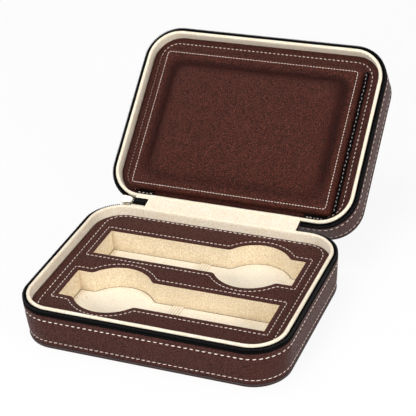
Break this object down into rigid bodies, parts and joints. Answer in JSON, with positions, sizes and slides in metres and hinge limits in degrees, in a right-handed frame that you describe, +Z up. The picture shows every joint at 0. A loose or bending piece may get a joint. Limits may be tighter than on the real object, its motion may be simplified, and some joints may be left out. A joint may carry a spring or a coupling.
{
  "type": "watch travel case",
  "caption": "Zipped hinged-lid travel case with a padded lid and a tray with watch-shaped wells, drawn open.",
  "frame": {"origin": "centre of the flat underside of the base", "axes": "+X to the right seen from the front, +Y towards the hinge, +Z up"},
  "size_m": [0.1998, 0.2903, 0.1273],
  "materials": {
    "leatherette": "satin",
    "panel_leatherette": "satin",
    "suede_lining": "matte",
    "velvet": "matte",
    "elastic": "matte",
    "zip_tape": "matte",
    "zip_coil": "satin",
    "piping": "satin",
    "greyboard": "matte",
    "lid_board": "matte",
    "foam": "matte",
    "nickel": "polished"
  },
  "bodies": {
    "base": {"base_bottom_cover": "panel_leatherette", "base_bottom_board": "greyboard", "base_piping": "piping", "base_wall_cover": "leatherette", "base_wall_board": "greyboard", "base_wall_lining": "suede_lining", "base_zip_tape": "zip_tape", "base_zip_coil": "zip_coil", "insert_foam": "foam", "tray_board": "greyboard", "tray_cover": "leatherette", "front_well_wall": "velvet", "back_well_wall": "velvet", "front_well_floor": "suede_lining", "back_well_floor": "suede_lining", "front_strap_band": "elastic", "back_strap_band": "elastic", "hinge_spine": "leatherette", "hinge_gusset": "suede_lining", "zip_end_tape": "zip_tape"},
    "lid": {"lid_top_cover": "panel_leatherette", "lid_top_board": "lid_board", "lid_piping": "piping", "lid_wall_cover": "leatherette", "lid_wall_board": "lid_board", "lid_wall_lining": "suede_lining", "lid_zip_tape": "zip_tape", "lid_zip_coil": "zip_coil", "lid_spacer": "foam", "lid_liner_board": "lid_board", "lid_liner_cover": "leatherette", "lid_pad_foam": "foam", "lid_pad_cover": "leatherette", "pad_side_gusset": "zip_tape"},
    "slider": {"zip_slider": "nickel"},
    "pull": {"zip_pull": "nickel"}
  },
  "joints": [
    {"name": "lid_hinge", "type": "hinge", "parent": "base", "child": "lid", "pos_m": [0, 0.077, 0.0327], "axis": [1, 0, 0], "range_deg": [0, 140.6], "deforming": ["hinge_spine", "hinge_gusset", "zip_end_tape"]},
    {"name": "slider_tilt", "type": "hinge", "parent": "base", "child": "slider", "pos_m": [0, 0.077, 0.0327], "axis": [1, 0, 0], "range_deg": [0, 70.3]},
    {"name": "pull_swing", "type": "hinge", "parent": "slider", "child": "pull", "pos_m": [-0.07825, 0.0784, 0.03028], "axis": [0, 0.9415, 0.3371], "range_deg": [-50, 80]}
  ],
  "couplings": [
    {"joint": "slider_tilt", "follows": "lid_hinge", "ratio": 0.5}
  ]
}
